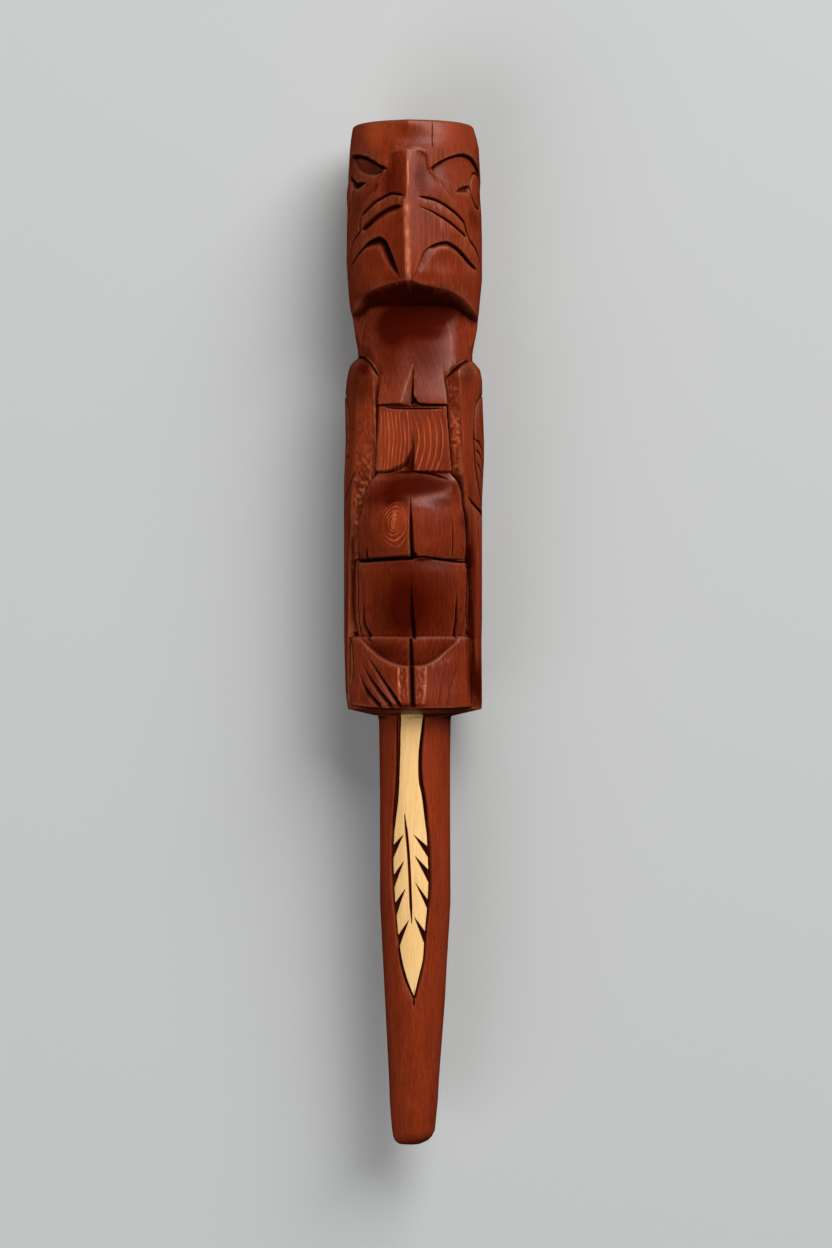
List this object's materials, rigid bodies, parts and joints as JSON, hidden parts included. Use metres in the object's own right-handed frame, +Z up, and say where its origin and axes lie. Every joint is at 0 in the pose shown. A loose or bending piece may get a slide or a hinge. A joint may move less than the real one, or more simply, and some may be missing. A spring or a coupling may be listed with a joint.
{
  "type": "talking stick",
  "caption": "Round wooden talking stick with a carved bird's head over a winged body, on a tapering handle with a bare feather; lies on its back.",
  "frame": {"origin": "under the middle of the stick, on the surface that it lies on", "axes": "+Y along the stick towards the bird's head, +Z up, out of the carved front, +X to the right as the front is seen with the head up"},
  "size_m": [0.0588, 0.43, 0.0608],
  "materials": {
    "stained_cedar": "satin red-brown stain, with a bare pale feather on the handle"
  },
  "bodies": {
    "root": {"talking_stick": "stained_cedar"}
  },
  "joints": []
}
